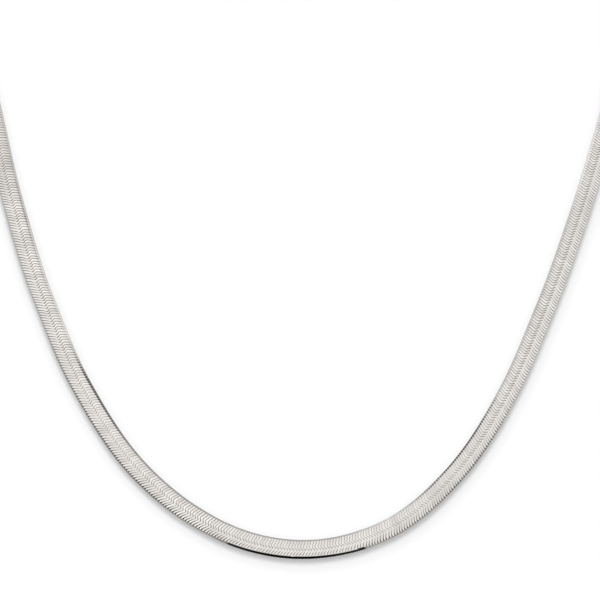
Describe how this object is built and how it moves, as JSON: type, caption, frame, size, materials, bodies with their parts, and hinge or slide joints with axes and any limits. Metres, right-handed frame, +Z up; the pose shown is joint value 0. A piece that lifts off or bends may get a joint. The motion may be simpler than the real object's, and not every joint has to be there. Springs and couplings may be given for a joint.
{
  "type": "herringbone neck chain",
  "caption": "Flat woven herringbone neck chain in its worn loop, with crimped end caps, jump rings and a lobster-form clasp at the nape.",
  "frame": {"origin": "where the clasp lies on the nape, on the centre line of the loop", "axes": "the wearer faces -Y, +X is to the viewer's right when the front is seen, +Z is up"},
  "size_m": [0.1354, 0.1225, 0.123],
  "materials": {
    "woven_silver": "bright sterling silver links with fine cross grooves",
    "polished_silver": "polished sterling silver"
  },
  "bodies": {
    "root": {"chain": "woven_silver", "end_cap_left": "polished_silver", "end_cap_right": "polished_silver", "jump_ring_left": "polished_silver", "jump_ring_right": "polished_silver", "clasp": "polished_silver"}
  },
  "joints": []
}
